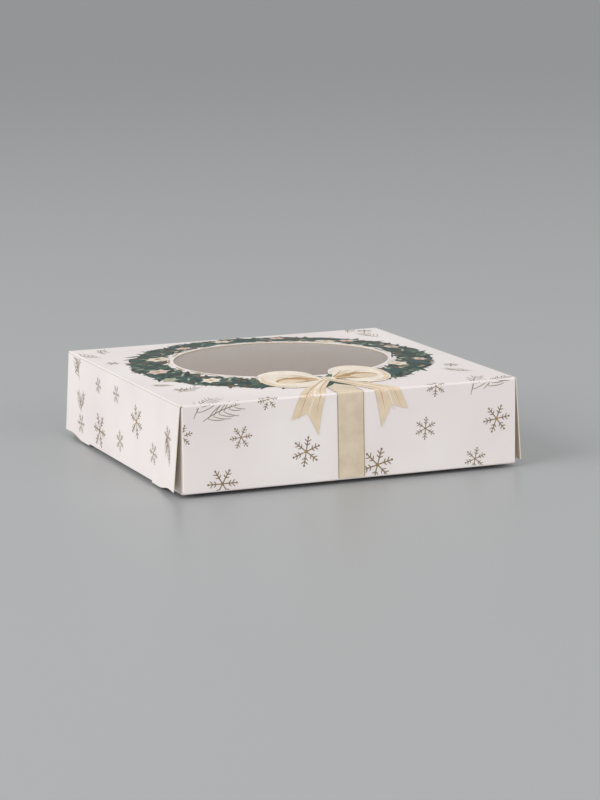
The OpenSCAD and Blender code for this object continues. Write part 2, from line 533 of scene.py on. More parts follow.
@dataclass
class BoxSizes:
    """Sizes of the box in millimetres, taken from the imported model."""

    # Radius of the folds
    fold: float = 0.8
    # How far the print reaches to each side of the middle
    print_half_w: float = 74.8

    def __post_init__(self) -> None:
        """Reads the height and depth from the panels' boxes."""
        low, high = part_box("front_panel")
        self.front_y = low.y / MM
        self.fold_y = self.front_y + self.fold
        self.arc_z = high.z / MM - self.fold
        self.low_z = low.z / MM + self.fold
        self.arc = self.fold * math.pi / 2
        self.back_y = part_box("back_panel")[1].y / MM
        self.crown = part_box("top_panel")[1].z / MM


# ---------- drawing ----------


@dataclass(frozen=True)
class FlakeShape:
    """Shape of a snowflake. Lengths without a unit are shares of the arm's length."""

    arms: int = 6
    stroke: float = 0.085
    stroke_min_mm: float = 0.34
    # Where each pair of branches starts, and how long it is
    branches: tuple[Point, ...] = ((0.42, 0.26), (0.66, 0.3))
    branch_angle: float = math.radians(52)
    tip_at: float = 0.97
    heart: float = 0.13
    # Shares of the arm's stroke
    tip: float = 0.9
    branch_stroke: float = 0.85


@dataclass(frozen=True)
class FlowerShape:
    """Shape of an open flower. Lengths without a unit are shares of a petal's length."""

    petals: int = 6
    disc: float = 0.78
    scallop: float = 0.1
    petal_w: float = 0.62
    petal_bow: float = 0.08
    vein: float = 0.6
    vein_w_mm: float = 0.3
    heart: float = 0.18


@dataclass(frozen=True)
class SprigShape:
    """Shape of a fir sprig. Lengths without a unit are shares of the stem's length."""

    stem_w_mm: float = 0.4
    stem_bow: float = 0.06
    needle_w_mm: float = 0.32
    needle: float = 0.5
    # How much shorter a needle is at the tip than at the foot
    needle_fall: float = 0.22
    needle_vary: Range = (0.8, 1.1)
    lean_degrees: Range = (24, 38)
    # Share of the needle's own length
    needle_bow: float = 0.06


class Drawing:
    """Flat drawing in millimetres, made of strokes and patches in printed inks.

    Its points are along a chart's two directions, and the third coordinate is the layer.
    """

    # Shapes that follow each other lie at slightly different heights, so that none coincide.
    HEIGHTS = 7
    # Share of a route over which its direction is taken
    DIRECTION_STEP = 0.01
    # How late on its way a band's end cut sets in
    CUT_POWER = 4
    # Width of a thin stroke's ends as a share of its width, and the spacing of its points
    STROKE_END = 0.55
    STROKE_SPACING = 1.5
    # A leaf is widest nearer its root by this power, and its tip has this share of the width
    LEAF_BELLY = 0.75
    LEAF_TIP = 0.06
    MERGE = 1e-4
    FLOWER = FlowerShape()
    FLAKE = FlakeShape()
    SPRIG = SprigShape()

    def __init__(self, seed: int) -> None:
        """Starts an empty drawing.

        Args:
            seed: Seed of the drawing's own random draws.
        """
        self.mesh = bmesh.new()
        self.ink = self.mesh.verts.layers.float_color.new("ink")
        self.random = random.Random(seed)
        self.layer = 0.0
        self.count = 0

    def lift(self, layers: int = 1) -> None:
        """Puts what is drawn next one or more layers higher."""
        self.layer += layers

    def _shape(
        self, across: int, along: int, ink: Ink, place: Callable[[float, float], Point]
    ) -> list[bmesh.types.BMVert]:
        """Lays a grid by a rule.

        Args:
            across: Number of spaces across.
            along: Number of spaces along.
            ink: Ink of the shape.
            place: Gives the point for two shares from 0 to 1, along and across.

        Returns:
            The vertices of the shape.
        """
        half = 0.5
        made = bmesh.ops.create_grid(self.mesh, x_segments=along, y_segments=across, size=half)
        height = self.layer + (self.count % self.HEIGHTS) / self.HEIGHTS
        self.count += 1
        for vert in made["verts"]:
            x, y = place(vert.co.x + half, vert.co.y + half)
            vert.co = Vector((x, y, height))
            vert[self.ink] = ink.value
        return made["verts"]

    def strip(
        self,
        route: Callable[[float], Point],
        width: Callable[[float], float],
        ink: Ink,
        along: int,
        across: int = 1,
        notch: float = 0.0,
        skew: float = 0.0,
    ) -> None:
        """Draws a band along a route.

        Args:
            route: Point of the route for a share from 0 to 1.
            width: Width for the same share.
            ink: Ink of the band.
            along: Number of spaces along the route.
            across: Number of spaces across the band.
            notch: Depth of the V cut into the band's end.
            skew: How much longer the band is on its left than on its right.
        """

        def place(s: float, t: float) -> Point:
            """Point of the band.

            Args:
                s: Share along the route.
                t: Share across the band.

            Returns:
                The point.
            """
            after = Vector(route(min(1, s + self.DIRECTION_STEP)))
            before = Vector(route(max(0, s - self.DIRECTION_STEP)))
            tangent = (after - before).normalized()
            side = Vector((-tangent.y, tangent.x))
            offset = t - 0.5
            cut = (notch * (2 * abs(offset) - 1) + skew * offset) * s**self.CUT_POWER
            spot = Vector(route(s)) + side * offset * width(s) + tangent * cut
            return spot.x, spot.y

        self._shape(across, along, ink, place)

    def line(self, start: Point, end: Point, width: float, ink: Ink, bow: float = 0.0) -> None:
        """Draws a thin stroke that narrows at its two ends.

        Args:
            start: First point.
            end: Last point.
            width: Width in the middle.
            ink: Ink of the stroke.
            bow: How far the middle stands to the left of the straight line.
        """
        a, b = Vector(start), Vector(end)
        left = Vector((a.y - b.y, b.x - a.x)).normalized()
        swell = 1 - self.STROKE_END
        self.strip(
            lambda s: tuple(a.lerp(b, s) + left * bow * 4 * s * (1 - s)),
            lambda s: width * (self.STROKE_END + swell * math.sin(math.pi * s)),
            ink,
            along=max(3, int((b - a).length / self.STROKE_SPACING)),
        )

    def leaf(
        self, root: Point, angle: float, length: float, width: float, ink: Ink, bow: float = 0.0
    ) -> None:
        """Draws a pointed leaf or needle.

        Args:
            root: Point that the leaf grows from.
            angle: Direction of the leaf in radians.
            length: Length of the leaf.
            width: Greatest width.
            ink: Ink of the leaf.
            bow: How far the leaf curves to the left.
        """
        a, way = Vector(root), heading(angle)
        left = Vector((-way.y, way.x))
        self.strip(
            lambda s: tuple(a + way * length * s + left * bow * s * s),
            lambda s: width * max(self.LEAF_TIP, math.sin(math.pi * s**self.LEAF_BELLY)),
            ink,
            along=7,
            across=2,
        )

    def patch(
        self,
        centre: Point,
        radius: Callable[[float], float],
        ink: Ink,
        around: int = 24,
        rings: int = 2,
    ) -> None:
        """Draws a filled patch round a centre.

        Args:
            centre: Middle of the patch.
            radius: Distance of the rim for an angle in radians.
            ink: Ink of the patch.
            around: Number of spaces round the rim.
            rings: Number of spaces from the middle to the rim.
        """

        def place(s: float, t: float) -> Point:
            """Point at share s round the rim and t out from the middle."""
            angle = math.tau * s
            return tuple(Vector(centre) + heading(angle) * radius(angle) * t)

        verts = self._shape(rings, around, ink, place)
        bmesh.ops.remove_doubles(self.mesh, verts=verts, dist=self.MERGE)

    def dot(self, centre: Point, radius: float, ink: Ink) -> None:
        """Draws a berry."""
        self.patch(centre, lambda _: radius, ink, around=10, rings=1)

    def flower(self, centre: Point, size: float, ink: Ink) -> None:
        """Draws an open flower, and leaves the layer as it was.

        Args:
            centre: Middle of the flower.
            size: Distance from the middle to a petal's tip.
            ink: Ink of the petals.
        """
        shape, below = self.FLOWER, self.layer
        petals = shape.petals
        turn = self.random.random() * math.tau

        def rim(angle: float) -> float:
            """Distance of the rim of the disc behind the petals."""
            return size * (shape.disc + shape.scallop * math.cos(petals * (angle - turn)))

        self.patch(centre, rim, ink)
        self.lift()
        for index in range(petals):
            angle = turn + math.tau * index / petals
            self.leaf(centre, angle, size, size * shape.petal_w, ink, size * shape.petal_bow)
        self.lift()
        for index in range(petals):
            angle = turn + math.tau * (index + 0.5) / petals
            tip = Vector(centre) + heading(angle) * shape.vein * size
            self.line(centre, tuple(tip), shape.vein_w_mm, Ink.BOW_GOLD)
        self.lift()
        self.dot(centre, size * shape.heart, Ink.GOLD)
        self.layer = below

    def flake(self, spot: Spot) -> None:
        """Draws a snowflake.

        Args:
            spot: Where it is, how large and how turned.
        """
        shape = self.FLAKE
        x, y, radius, turn = spot
        middle = Vector((x, y))
        stroke = max(shape.stroke_min_mm, radius * shape.stroke)
        for index in range(shape.arms):
            angle = math.radians(turn) + math.tau * index / shape.arms
            arm = heading(angle) * radius
            self.line(tuple(middle), tuple(middle + arm), stroke, Ink.FLAKE)
            self.dot(tuple(middle + arm * shape.tip_at), stroke * shape.tip, Ink.FLAKE)
            for share, reach in shape.branches:
                root = middle + arm * share
                for hand in HANDS:
                    branch = heading(angle + hand * shape.branch_angle) * radius * reach
                    thin = stroke * shape.branch_stroke
                    self.line(tuple(root), tuple(root + branch), thin, Ink.FLAKE)
        self.dot(tuple(middle), radius * shape.heart, Ink.GOLD)

    def sprig(self, spot: Spot, pairs: int = 5) -> None:
        """Draws a fir sprig of fine strokes.

        Args:
            spot: Foot of the stem, its direction and its length.
            pairs: Number of pairs of needles.
        """
        shape = self.SPRIG
        x, y, degrees, length = spot
        angle = math.radians(degrees)
        foot, stem = Vector((x, y)), heading(angle) * length
        bow = length * shape.stem_bow
        self.line(tuple(foot), tuple(foot + stem), shape.stem_w_mm, Ink.SPRIG, bow)
        for index in range(pairs):
            share = (index + 1) / (pairs + 1)
            base = foot + stem * share
            for hand in HANDS:
                lean = angle + hand * math.radians(self.random.uniform(*shape.lean_degrees))
                reach = length * (shape.needle - shape.needle_fall * share)
                reach *= self.random.uniform(*shape.needle_vary)
                tip = base + heading(lean) * reach
                bend = hand * reach * shape.needle_bow
                self.line(tuple(base), tuple(tip), shape.needle_w_mm, Ink.SPRIG, bend)


@dataclass
class Chart:
    """Part of the outside of the box that a drawing is laid on.

    A ray from outside finds the board under each point of the drawing. Lengths are in millimetres.
    """

    name: str
    body: str
    nodes: tuple[str, ...]
    ray: Callable[[float, float], tuple[Vector, Vector]]
    low: Point
    high: Point
    base_lift: float = 0.03
    layer_lift: float = 0.0105
    ray_length: float = 24.0

    def lay(self, drawing: Drawing, material: bpy.types.Material) -> None:
        """Lays a drawing on the board as one printed piece.

        Args:
            drawing: The flat drawing, which this uses up.
            material: Finish of the ink.
        """
        mesh = drawing.mesh
        self._trim(mesh)
        self._drop(mesh)
        data = bpy.data.meshes.new(self.name)
        mesh.to_mesh(data)
        mesh.free()
        data.materials.append(material)
        piece = bpy.data.objects.new(self.name, data)
        bpy.context.scene.collection.objects.link(piece)
        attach(piece, self.body)
        log.info("laid %s, %d faces", self.name, len(data.polygons))

    def _trim(self, mesh: bmesh.types.BMesh) -> None:
        """Cuts the flat drawing off at the chart's four limits.

        Args:
            mesh: Mesh of the drawing.
        """
        for axis in (0, 1):
            for limit, sign in ((self.low[axis], -1), (self.high[axis], 1)):
                plane, normal = Vector((0, 0, 0)), Vector((0, 0, 0))
                plane[axis], normal[axis] = limit, sign
                bmesh.ops.bisect_plane(
                    mesh,
                    geom=mesh.verts[:] + mesh.edges[:] + mesh.faces[:],
                    plane_co=plane,
                    plane_no=normal,
                    clear_outer=True,
                )

    def _drop(self, mesh: bmesh.types.BMesh) -> None:
        """Puts each point of the drawing on the board, and turns all faces outwards.

        Args:
            mesh: Mesh of the drawing.
        """
        board = self._board()
        missed, outward = [], {}
        for vert in mesh.verts:
            start, way = self.ray(vert.co.x, vert.co.y)
            spot, _, _, _ = board.ray_cast(start * MM, way, self.ray_length * MM)
            if spot is None:
                missed.append(vert)
                continue
            lift = self.base_lift + self.layer_lift * vert.co.z
            vert.co = spot - way * lift * MM
            outward[vert] = -way
        bmesh.ops.delete(mesh, geom=missed, context="VERTS")
        mesh.normal_update()
        inward = [f for f in mesh.faces if f.normal.dot(outward[f.verts[0]]) < 0]
        bmesh.ops.reverse_faces(mesh, faces=inward)

    def _board(self) -> BVHTree:
        """Search tree of the board that the chart covers.

        Returns:
            The tree of all the chart's nodes, in metres.
        """
        points, faces = [], []
        for name in self.nodes:
            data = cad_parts[name].data
            start = len(points)
            points += [v.co.copy() for v in data.vertices]
            faces += [[start + i for i in p.vertices] for p in data.polygons]
        return BVHTree.FromPolygons(points, faces)


# ---------- the print ----------


@dataclass
class SleeveRoute:
    """Way of the chart that climbs the front, turns over its fold and runs back over the top."""

    box: BoxSizes
    # How far outside the box the rays start
    standoff: float = 8.0

    def ray(self, u: float, v: float) -> tuple[Vector, Vector]:
        """Ray that meets the board at a point of the chart.

        Args:
            u: Distance to the right of the middle.
            v: Height on the front, carried on over the fold and back along the top.

        Returns:
            Start of the ray in millimetres and its direction.
        """
        box = self.box
        if v <= box.arc_z:
            return Vector((u, box.front_y - self.standoff, v)), Vector((0, 1, 0))
        if v < box.arc_z + box.arc:
            angle = (v - box.arc_z) / box.fold
            out = Vector((0, -math.cos(angle), math.sin(angle)))
            centre = Vector((u, box.fold_y, box.arc_z))
            return centre + out * (box.fold + self.standoff), -out
        y = box.fold_y + v - box.arc_z - box.arc
        return Vector((u, y, box.crown + self.standoff)), Vector((0, 0, -1))

    def top(self, x: float, y: float) -> Point:
        """Chart point of a point of the top, given in the box's own X and Y."""
        return x, y - self.box.fold_y + self.box.arc_z + self.box.arc


@dataclass
class Scatter:
    """Snowflakes and sprigs of the front and of the top's corners.

    The first two groups are on the chart, and the corners are in the box's own X and Y.
    """

    drawing: Drawing
    route: SleeveRoute
    front_flakes: tuple[Spot, ...] = (
        (-75.3, 26.2, 4.6, 12), (-49.6, 23.6, 4.7, 5), (-21.0, 15.2, 6.2, 20), (-58.0, 5.0, 6.4, 0),
        (11.0, 6.8, 7.0, 14), (33.0, 20.4, 4.7, 25), (66.0, 21.8, 6.0, 8), (56.0, 5.4, 4.8, 18),
        (-37.5, 38.4, 4.4, 10), (38.0, 38.0, 4.4, 22),
    )
    front_sprigs: tuple[Spot, ...] = (
        (-70, 33, 52, 20), (-66, 31.5, 20, 17), (54, 33, 64, 18), (60, 35, 32, 16),
    )
    front_sprig_pairs: int = 6
    corner_sprigs: tuple[Spot, ...] = (
        (-68, 50, 120, 15), (-64, 58, 80, 12), (58, 66, 62, 13), (66, 48, 100, 15),
        (-66, -46, 35, 13), (66, -52, 128, 13), (-62, -30, 150, 9),
    )
    corner_flakes: tuple[Spot, ...] = (
        (-63, -40, 3.2, -63), (64, -34, 3.4, 64), (67, 68, 3.6, 67), (-68, 34, 3, -68),
    )

    def draw(self) -> None:
        """Draws them all."""
        for flake in self.front_flakes:
            self.drawing.flake(flake)
        for sprig in self.front_sprigs:
            self.drawing.sprig(sprig, self.front_sprig_pairs)
        for x, y, angle, length in self.corner_sprigs:
            self.drawing.sprig((*self.route.top(x, y), angle, length))
        for x, y, radius, turn in self.corner_flakes:
            self.drawing.flake((*self.route.top(x, y), radius, turn))
        self.drawing.lift()


@dataclass
class Wreath:
    """Wreath of leaves, flowers and berries round the window."""

    drawing: Drawing
    route: SleeveRoute
    window_back: float = 5.5
    inner_r: float = 48.4
    outer_r: float = 70.0
    bed_share: float = 0.66
    # Size and number round the ring of each of the two waves of the bed's rim
    bed_waves: tuple[Point, ...] = ((0.07, 17), (0.042, 29))
    greens: tuple[Ink, ...] = (
        Ink.GREEN_DARK, Ink.GREEN_DEEP, Ink.GREEN_BLUE, Ink.GREEN_DARK, Ink.GREEN_SOFT,
        Ink.GREEN_DEEP, Ink.BARK,
    )
    # Degrees between the leaves of each round, their length and their width
    rounds: tuple[tuple[float, float, float], ...] = (
        (5.1, 8.5, 2.7), (4.08, 7.5, 1.9), (3.4, 6.5, 1.4),
    )
    # Distance of each row of leaves from the inner rim
    rows: tuple[float, ...] = (2.5, 8, 13.5)
    row_scatter: float = 1.5
    lean_degrees: Range = (20, 70)
    leaf_vary: Range = (0.7, 1.2)
    leaf_bow: float = 1.2
    # How far leaves may stand out past the outer rim
    overhang: float = 3
    # Leaves this near the inner rim always point outwards
    rim_zone: float = 5
    sprays: int = 70
    # Direction in degrees and distance from the window's centre, size and ink of each flower
    flowers: tuple[tuple[float, float, float, Ink], ...] = (
        (153, 54, 6.2, Ink.CREAM), (185, 59, 5.4, Ink.PINK), (46, 53, 6.0, Ink.CREAM),
        (38, 60, 4.6, Ink.PINK), (322, 53, 5.2, Ink.CREAM), (12, 60, 4.6, Ink.PINK),
        (218, 58, 4.8, Ink.CREAM), (95, 60, 5.0, Ink.CREAM), (120, 56, 4.2, Ink.PINK),
        (338, 61, 3.8, Ink.PINK), (202, 65, 4.2, Ink.GREEN_PALE), (70, 62, 4.2, Ink.PINK),
    )
    flower_layers: int = 4
    berries: int = 46
    twigs: int = 26
    accents: tuple[Ink, ...] = (Ink.GOLD, Ink.CREAM, Ink.BARK)

    def polar(self, radius: float, degrees: float) -> Point:
        """Chart point at a distance and direction from the window's centre."""
        spot = heading(math.radians(degrees)) * radius
        return self.route.top(spot.x, self.window_back + spot.y)

    def draw(self) -> None:
        """Draws the wreath from its bed of wash up to the berries."""
        self._bed()
        for step, length, width in self.rounds:
            self.drawing.lift()
            self._leaves(step, length, width)
        self.drawing.lift()
        self._sprays()
        self.drawing.lift()
        for degrees, distance, size, ink in self.flowers:
            self.drawing.flower(self.polar(distance, degrees), size, ink)
        self.drawing.lift(self.flower_layers)
        self._berries()
        self.drawing.lift()

    def _bed(self) -> None:
        """Draws the ring of wash under the leaves."""
        band = self.outer_r - self.inner_r

        def width(s: float) -> float:
            """Width of the wash at share s round the ring."""
            waves = sum(size * math.sin(n * s * math.tau) for size, n in self.bed_waves)
            return band * (self.bed_share + waves)

        middle = (self.inner_r + self.outer_r) / 2
        self.drawing.strip(
            lambda s: self.polar(middle, 360 * s), width, Ink.GREEN_BLUE, along=240, across=6
        )

    def _leaves(self, step: float, length: float, width: float) -> None:
        """Draws one round of leaves.

        Args:
            step: Degrees from one leaf of a row to the next.
            length: Usual length of a leaf.
            width: Width of a leaf.
        """
        dice = self.drawing.random
        degrees = 0.0
        while degrees < 360:
            for row in self.rows:
                lean = dice.choice(HANDS) * dice.uniform(*self.lean_degrees)
                reach = length * dice.uniform(*self.leaf_vary)
                from_rim = row + dice.uniform(-self.row_scatter, self.row_scatter)
                distance = self.inner_r + from_rim
                root = self.polar(distance, degrees + dice.uniform(-2, 2))
                fits = distance + reach < self.outer_r + self.overhang
                if lean > 0 or fits or from_rim < self.rim_zone:
                    way = degrees + lean
                else:
                    way = degrees + 90 - lean
                ink = dice.choice(self.greens)
                bow = dice.uniform(-self.leaf_bow, self.leaf_bow)
                self.drawing.leaf(root, math.radians(way), reach, width, ink, bow)
            degrees += step

    def _sprays(self) -> None:
        """Draws small pale leaves over the green ones."""
        dice = self.drawing.random
        for index in range(self.sprays):
            degrees = 360 * index / self.sprays + dice.uniform(-2, 2)
            root = self.polar(dice.uniform(self.inner_r + 2, self.outer_r - 3), degrees)
            way = math.radians(degrees + dice.uniform(-80, 80))
            self.drawing.leaf(root, way, dice.uniform(3, 5), 1.1, Ink.GREEN_PALE, 0.4)

    def _berries(self) -> None:
        """Draws the berries, and the short twigs along the inner rim."""
        dice = self.drawing.random
        for _ in range(self.berries):
            degrees = dice.uniform(0, 360)
            spot = self.polar(dice.uniform(self.inner_r + 1.5, self.outer_r - 2), degrees)
            self.drawing.dot(spot, dice.uniform(0.7, 1.2), dice.choice(self.accents))
        for index in range(self.twigs):
            degrees = 360 * index / self.twigs + dice.uniform(-5, 5)
            start = self.polar(self.inner_r + 0.6, degrees)
            out = self.inner_r + dice.uniform(0.4, 1.6)
            end = self.polar(out, degrees + dice.uniform(7, 12))
            self.drawing.line(start, end, 0.7, dice.choice(self.accents))


@dataclass
class Bow:
    """Flat ribbon down the front and the bow on the top, with two tails over the fold.

    The bow's loops fill the two lobes of board that reach into the window.
    """

    drawing: Drawing
    route: SleeveRoute
    lobe_x: float = 16.5
    loop_half_w: float = 12.3
    loop_half_l: float = 15.8
    loop_y: float = -44.8
    # How far a loop is drawn out towards the knot, and over what angle in radians
    loop_point: float = 3.4
    loop_point_angle: float = 0.5
    knot_x: float = -1.2
    knot_y: float = -50.0
    knot_r: float = 3.6
    ribbon_w: float = 12.0
    ribbon_drift: float = 0.5
    # The ribbon starts at this share of its width, and is full after this share of its length
    ribbon_start: float = 0.55
    ribbon_full_at: float = 0.25
    selvage_at: float = 0.48
    selvage_w: float = 0.4
    # Middle of each tail's cut end on the chart
    tail_ends: tuple[Point, ...] = ((-21.5, 25.2), (19.0, 26.0))
    tail_sway: float = 3.5
    tail_start_w: float = 3.5
    tail_spread: float = 10.0
    tail_notch: float = 6.0
    tail_skew: float = 4.0
    # Place across, width and ink of each fold of a tail
    tail_folds: tuple[tuple[float, float, Ink], ...] = (
        (-0.3, 1.0, Ink.BOW_GOLD), (0.05, 2.6, Ink.BOW_LIGHT), (0.34, 0.7, Ink.BOW_GOLD),
    )
    hollow_x: float = 1.5
    hollow_y: float = 2.5
    # Width and length of a hollow, as divisors of its size
    hollow_w: float = 0.72
    hollow_l: float = 1.25
    # Size of each hollow, how far it is moved from the loop's own place, and its ink
    hollows: tuple[tuple[float, float, Ink], ...] = (
        (5.8, 0.0, Ink.BOW_GOLD), (4.4, 1.4, Ink.BOW_MID),
    )
    # Rise and reach of each fold's tip from the knot, its width and its ink
    folds: tuple[tuple[float, float, float, Ink], ...] = (
        (9.5, 17, 1.4, Ink.BOW_MID), (5.0, 20, 1.1, Ink.BOW_GOLD), (0.5, 18, 1.6, Ink.BOW_GOLD),
        (-4.5, 20, 1.0, Ink.BOW_MID), (-9.0, 16, 1.2, Ink.BOW_GOLD), (7.5, 12, 0.8, Ink.BOW_GOLD),
    )
    fold_rise: float = 5
    fold_share: float = 0.92
    knot_creases: tuple[float, ...] = (-1.6, 0.2, 1.7)
    knot_crease_half: float = 2.8

    def __post_init__(self) -> None:
        """Finds the knot on the chart."""
        self.knot = Vector(self.route.top(self.knot_x, self.knot_y))

    def draw(self) -> None:
        """Draws the ribbon first, then the bow over it."""
        self._ribbon()
        self._leaves()
        for hand, end in zip(HANDS, self.tail_ends):
            self._tail(hand, Vector(end))
        self.drawing.lift()
        for hand in HANDS:
            self._loop(hand)
        self.drawing.lift()
        for hand in HANDS:
            self._loop_folds(hand)
        self.drawing.lift()
        self._knot()

    def _ribbon(self) -> None:
        """Draws the flat ribbon that runs from the knot down the front."""
        past_end = 2
        drop = self.route.box.low_z - past_end - self.knot.y

        def middle(s: float) -> Point:
            """Middle of the ribbon at share s down from the knot."""
            return self.knot_x + self.ribbon_drift * s, self.knot.y + drop * s

        def width(s: float) -> float:
            """Width of the ribbon at share s down from the knot."""
            full = min(1, s / self.ribbon_full_at)
            return self.ribbon_w * (self.ribbon_start + (1 - self.ribbon_start) * full)

        self.drawing.strip(middle, width, Ink.RIBBON, along=80, across=6)
        self.drawing.lift()
        for hand in HANDS:

            def selvage(s: float, hand: int = hand) -> Point:
                """Point of the line along one side of the ribbon."""
                u, v = middle(s)
                return u + hand * self.selvage_at * width(s), v

            self.drawing.strip(selvage, lambda s: self.selvage_w, Ink.RIBBON_SHADE, along=80)
        self.drawing.lift()

    def _leaves(self) -> None:
        """Draws the leaves of the wreath that show under and over the knot."""
        for hand in HANDS:
            below = self.route.top(self.knot_x + hand * 1.4, self.knot_y - 2)
            way = math.radians(-90 + hand * 16)
            self.drawing.leaf(below, way, 12, 6.5, Ink.GREEN_DEEP, hand * 0.6)
            above = self.route.top(self.knot_x + hand, self.knot_y + 1)
            way = math.radians(90 - hand * 34)
            self.drawing.leaf(above, way, 8, 3.0, Ink.GREEN_SOFT, hand)
        self.drawing.lift()

    def _tail(self, hand: int, end: Vector) -> None:
        """Draws one of the bow's two V-cut tails, which hang over the front fold.

        Args:
            hand: -1 for the left tail and 1 for the right.
            end: Middle of the tail's cut end.
        """
        sway = Vector((hand * self.tail_sway, 0))

        def middle(s: float) -> Point:
            """Middle of the tail at share s from the knot."""
            return tuple(self.knot.lerp(end, s) + sway * math.sin(math.pi * s))

        self.drawing.strip(
            middle,
            lambda s: self.tail_start_w + self.tail_spread * s**0.8,
            Ink.BOW_MID,
            along=36,
            across=6,
            notch=self.tail_notch,
            skew=-hand * self.tail_skew,
        )
        self.drawing.lift()
        for offset, width, ink in self.tail_folds:

            def fold(s: float, offset: float = offset) -> Point:
                """Point of a fold line along the tail."""
                u, v = middle(0.9 * s)
                return u + offset * (3 + 9 * s), v

            self.drawing.strip(fold, lambda s, w=width: w * (0.3 + s) * (1.05 - s), ink, along=30)

    def _loop_centre(self, hand: int) -> Vector:
        """Chart point of the middle of a loop."""
        return Vector(self.route.top(hand * self.lobe_x, self.loop_y))

    def _loop(self, hand: int) -> None:
        """Draws the body of one loop.

        Args:
            hand: -1 for the left loop and 1 for the right.
        """
        centre = self._loop_centre(hand)
        a, b = self.loop_half_w, self.loop_half_l
        towards = math.atan2(self.knot.y - centre.y, self.knot.x - centre.x)

        def rim(angle: float) -> float:
            """Distance of the loop's rim in a direction, drawn out towards the knot."""
            oval = a * b / math.hypot(b * math.cos(angle), a * math.sin(angle))
            off = abs((angle - towards + math.pi) % math.tau - math.pi)
            return oval + self.loop_point * max(0, 1 - off / self.loop_point_angle) ** 2

        self.drawing.patch(tuple(centre), rim, Ink.BOW_LIGHT, around=64, rings=8)

    def _loop_folds(self, hand: int) -> None:
        """Draws the hollow, the outer shade and the folds of one loop.

        Args:
            hand: -1 for the left loop and 1 for the right.
        """
        centre = self._loop_centre(hand)
        for size, moved, ink in self.hollows:
            shift = Vector((-hand * (self.hollow_x - moved), -self.hollow_y - moved))

            def rim(angle: float, size: float = size) -> float:
                """Distance of the hollow's rim in a direction."""
                flat = math.hypot(self.hollow_w * math.cos(angle), self.hollow_l * math.sin(angle))
                return size / flat

            self.drawing.patch(tuple(centre + shift), rim, ink, around=36, rings=4)
            self.drawing.lift()

        def outer(s: float) -> Point:
            """Point of the shade along the loop's outer side."""
            angle = 2.2 * s - 1.5
            return centre.x + hand * 10.6 * math.cos(angle), centre.y + 13.6 * math.sin(angle)

        self.drawing.strip(
            outer, lambda s: 2.2 * math.sin(math.pi * s) + 0.1, Ink.BOW_MID, along=24, across=2
        )
        self.drawing.lift()
        for rise, reach, width, ink in self.folds:
            way = Vector((hand * reach, self.fold_rise + rise))
            self.drawing.leaf(
                tuple(self.knot + Vector((hand * 2.0, 0))),
                math.atan2(way.y, way.x),
                way.length * self.fold_share,
                width,
                ink,
                hand * 1.5,
            )

    def _knot(self) -> None:
        """Draws the knot with its creases."""
        knot, half = self.knot, self.knot_crease_half
        self.drawing.patch(
            tuple(knot), lambda angle: self.knot_r + 0.5 * math.cos(2 * angle), Ink.BOW_LIGHT
        )
        self.drawing.lift()
        for offset in self.knot_creases:
            start = (knot.x + offset, knot.y - half)
            end = (knot.x + offset * 0.8, knot.y + half)
            self.drawing.line(start, end, 0.5, Ink.BOW_GOLD, 0.4)


@dataclass
class SleevePrint:
    """Print of the front and the top, drawn in one piece across the front fold."""

    ink: bpy.types.Material
    box: BoxSizes

    def build(self) -> None:
        """Draws and lays the whole print of the front and the top."""
        route = SleeveRoute(self.box)
        drawing = Drawing(seed=11)
        for part in (Scatter, Wreath, Bow):
            part(drawing, route).draw()
        chart = Chart(
            name="front_and_top_print",
            body="sleeve",
            nodes=("front_panel", "top_panel"),
            ray=route.ray,
            low=(-self.box.print_half_w, self.box.low_z),
            high=(self.box.print_half_w, route.top(0, -self.box.fold_y)[1]),
        )
        chart.lay(drawing, self.ink)


@dataclass
class BackPrint:
    """Print of the back: scattered snowflakes and sprigs."""

    ink: bpy.types.Material
    box: BoxSizes
    standoff: float = 8.0
    flakes: tuple[Spot, ...] = (
        (-60, 25, 5.6, -60), (-38, 10, 6.4, -38), (-16, 26, 4.8, -16), (6, 9, 6.6, 6),
        (27, 25, 5.2, 27), (48, 11, 6.0, 48), (66, 28, 4.6, 66), (-68, 6, 4.6, -68),
    )
    sprigs: tuple[Spot, ...] = (
        (-50, 30, 60, 13), (16, 30, 115, 13), (60, 4, 70, 13),
    )

    def build(self) -> None:
        """Draws and lays the print of the back."""
        drawing = Drawing(seed=23)
        for flake in self.flakes:
            drawing.flake(flake)
        for sprig in self.sprigs:
            drawing.sprig(sprig)
        start = self.box.back_y + self.standoff
        chart = Chart(
            name="back_print",
            body="sleeve",
            nodes=("back_panel",),
            ray=lambda u, v: (Vector((-u, start, v)), Vector((0, -1, 0))),
            low=(-self.box.print_half_w, self.box.low_z),
            high=(self.box.print_half_w, self.box.arc_z),
        )
        chart.lay(drawing, self.ink)


